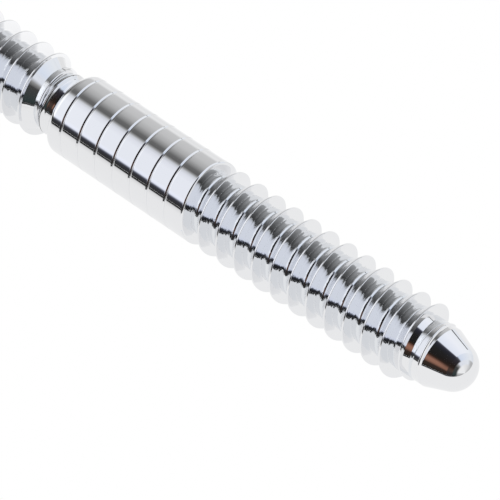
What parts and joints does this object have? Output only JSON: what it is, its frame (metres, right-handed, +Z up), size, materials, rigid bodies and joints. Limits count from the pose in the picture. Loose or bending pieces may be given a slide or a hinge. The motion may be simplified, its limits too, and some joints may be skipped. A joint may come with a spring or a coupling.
{
  "type": "devil stick",
  "caption": "Chrome juggling stick with spiral fins, smooth grooved grips, rounded conical noses and sections that screw together.",
  "frame": {"origin": "middle of the stick, on its axis", "axes": "+X along the stick towards its near end, +Z up"},
  "size_m": [0.4808, 0.03, 0.03],
  "materials": {
    "chrome_core": "chrome plate over a turned tube, with fine turning marks",
    "chrome_fin": "chrome plate on a fin with a steep face and a sloping back",
    "chrome_grip": "mirror-polished chrome plate",
    "chrome_neck": "chrome plate on turned plugs",
    "chrome_nose": "mirror-polished chrome plate",
    "plain_steel": "plain turned steel",
    "black_rubber": "black rubber"
  },
  "bodies": {
    "centre": {"centre_tube": "chrome_core", "centre_spiral_fin": "chrome_fin", "near_centre_plug": "chrome_neck", "near_joint_stud": "plain_steel", "far_centre_plug": "chrome_neck", "far_joint_stud": "plain_steel"},
    "near_joint_seal": {"near_joint_o_ring": "black_rubber"},
    "near_section": {"near_joint_plug": "chrome_neck", "near_shaft_tube": "chrome_core", "near_grip_sleeve": "chrome_grip", "near_spiral_fin": "chrome_fin", "near_end_weight": "plain_steel", "near_end_plug": "chrome_neck"},
    "near_nose_seal": {"near_nose_o_ring": "black_rubber"},
    "near_nose": {"near_nose_cone": "chrome_nose"},
    "far_joint_seal": {"far_joint_o_ring": "black_rubber"},
    "far_section": {"far_joint_plug": "chrome_neck", "far_shaft_tube": "chrome_core", "far_grip_sleeve": "chrome_grip", "far_spiral_fin": "chrome_fin", "far_end_weight": "plain_steel", "far_end_plug": "chrome_neck"},
    "far_nose_seal": {"far_nose_o_ring": "black_rubber"},
    "far_nose": {"far_nose_cone": "chrome_nose"}
  },
  "joints": [
    {"name": "near_section_travel", "type": "slide", "parent": "centre", "child": "near_joint_seal", "axis": [1, 0, 0], "range_m": [0, 0.012]},
    {"name": "near_section_unscrew", "type": "hinge", "parent": "near_joint_seal", "child": "near_section", "pos_m": [0.05345, 0, 0], "axis": [1, 0, 0], "range_deg": [0, 1080]},
    {"name": "near_nose_travel", "type": "slide", "parent": "near_section", "child": "near_nose_seal", "axis": [1, 0, 0], "range_m": [0, 0.009]},
    {"name": "near_nose_unscrew", "type": "hinge", "parent": "near_nose_seal", "child": "near_nose", "pos_m": [0.22305, 0, 0], "axis": [1, 0, 0], "range_deg": [0, 1080]},
    {"name": "far_section_travel", "type": "slide", "parent": "centre", "child": "far_joint_seal", "axis": [-1, 0, 0], "range_m": [0, 0.012]},
    {"name": "far_section_unscrew", "type": "hinge", "parent": "far_joint_seal", "child": "far_section", "pos_m": [-0.05345, 0, 0], "axis": [-1, 0, 0], "range_deg": [0, 1080]},
    {"name": "far_nose_travel", "type": "slide", "parent": "far_section", "child": "far_nose_seal", "axis": [-1, 0, 0], "range_m": [0, 0.009]},
    {"name": "far_nose_unscrew", "type": "hinge", "parent": "far_nose_seal", "child": "far_nose", "pos_m": [-0.22305, 0, 0], "axis": [-1, 0, 0], "range_deg": [0, 1080]}
  ],
  "couplings": [
    {"joint": "near_section_unscrew", "follows": "near_section_travel", "rad_per_m": 1570.8},
    {"joint": "near_nose_unscrew", "follows": "near_nose_travel", "rad_per_m": 2094.4},
    {"joint": "far_section_unscrew", "follows": "far_section_travel", "rad_per_m": 1570.8},
    {"joint": "far_nose_unscrew", "follows": "far_nose_travel", "rad_per_m": 2094.4}
  ]
}
